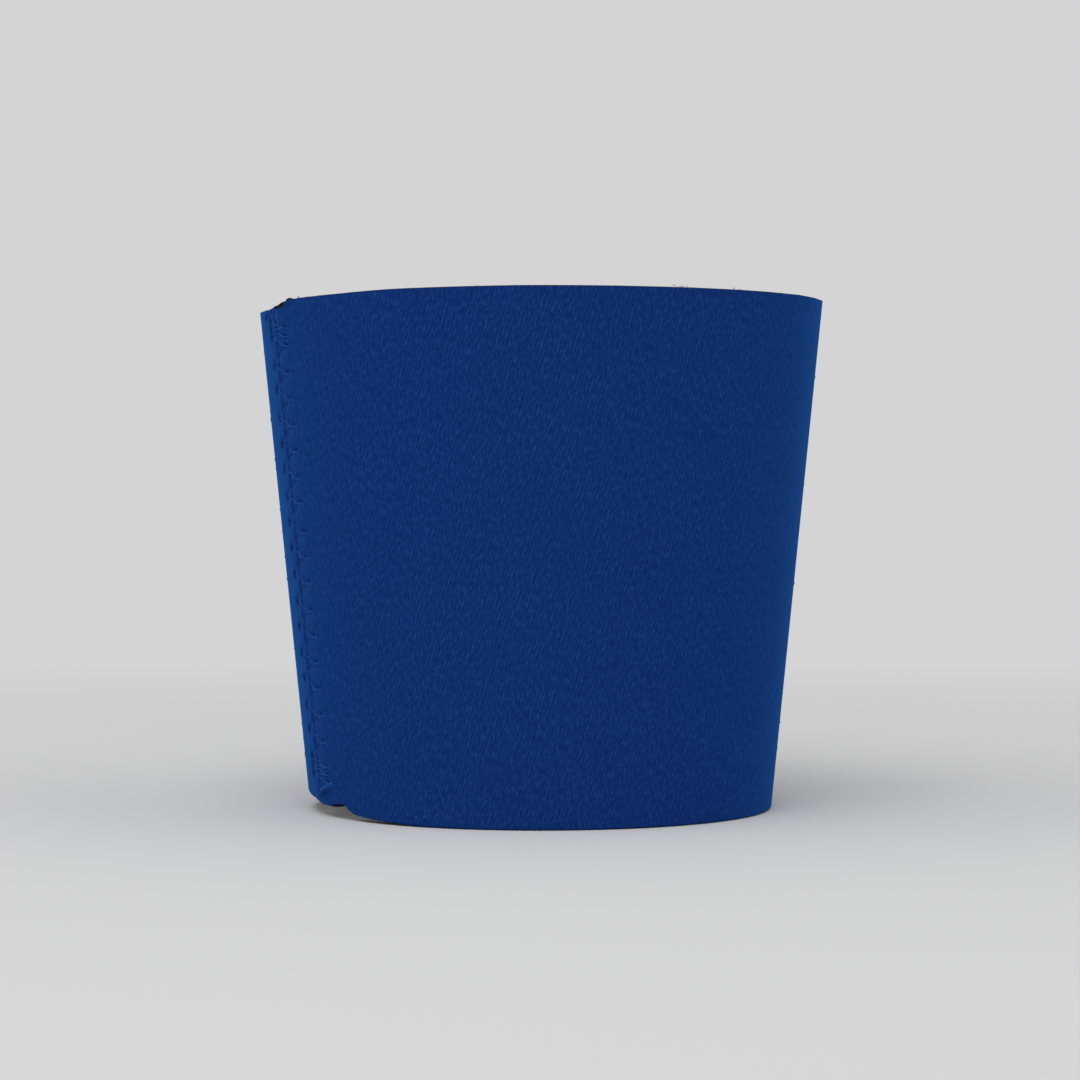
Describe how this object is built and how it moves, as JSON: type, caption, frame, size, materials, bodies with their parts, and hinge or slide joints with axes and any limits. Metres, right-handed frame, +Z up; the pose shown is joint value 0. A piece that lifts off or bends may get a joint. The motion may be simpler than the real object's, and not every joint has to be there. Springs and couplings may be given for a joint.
{
  "type": "coffee cup sleeve",
  "caption": "Tapered insulating sleeve for a takeaway cup: a strip of cloth-faced foam sheet, bent round and closed by a zigzag sewn butt seam.",
  "frame": {"origin": "centre of the lower, narrower edge, on the surface that the sleeve stands on", "axes": "+Z up the axis of the cone to the wide edge; -Y is the front, and the seam lies 67 degrees round from it towards -X"},
  "size_m": [0.0888, 0.089, 0.08],
  "materials": {
    "faced_foam": "matt knitted jersey in royal blue over black closed-cell rubber foam"
  },
  "bodies": {
    "root": {"sleeve_wrap": "faced_foam"}
  },
  "joints": []
}
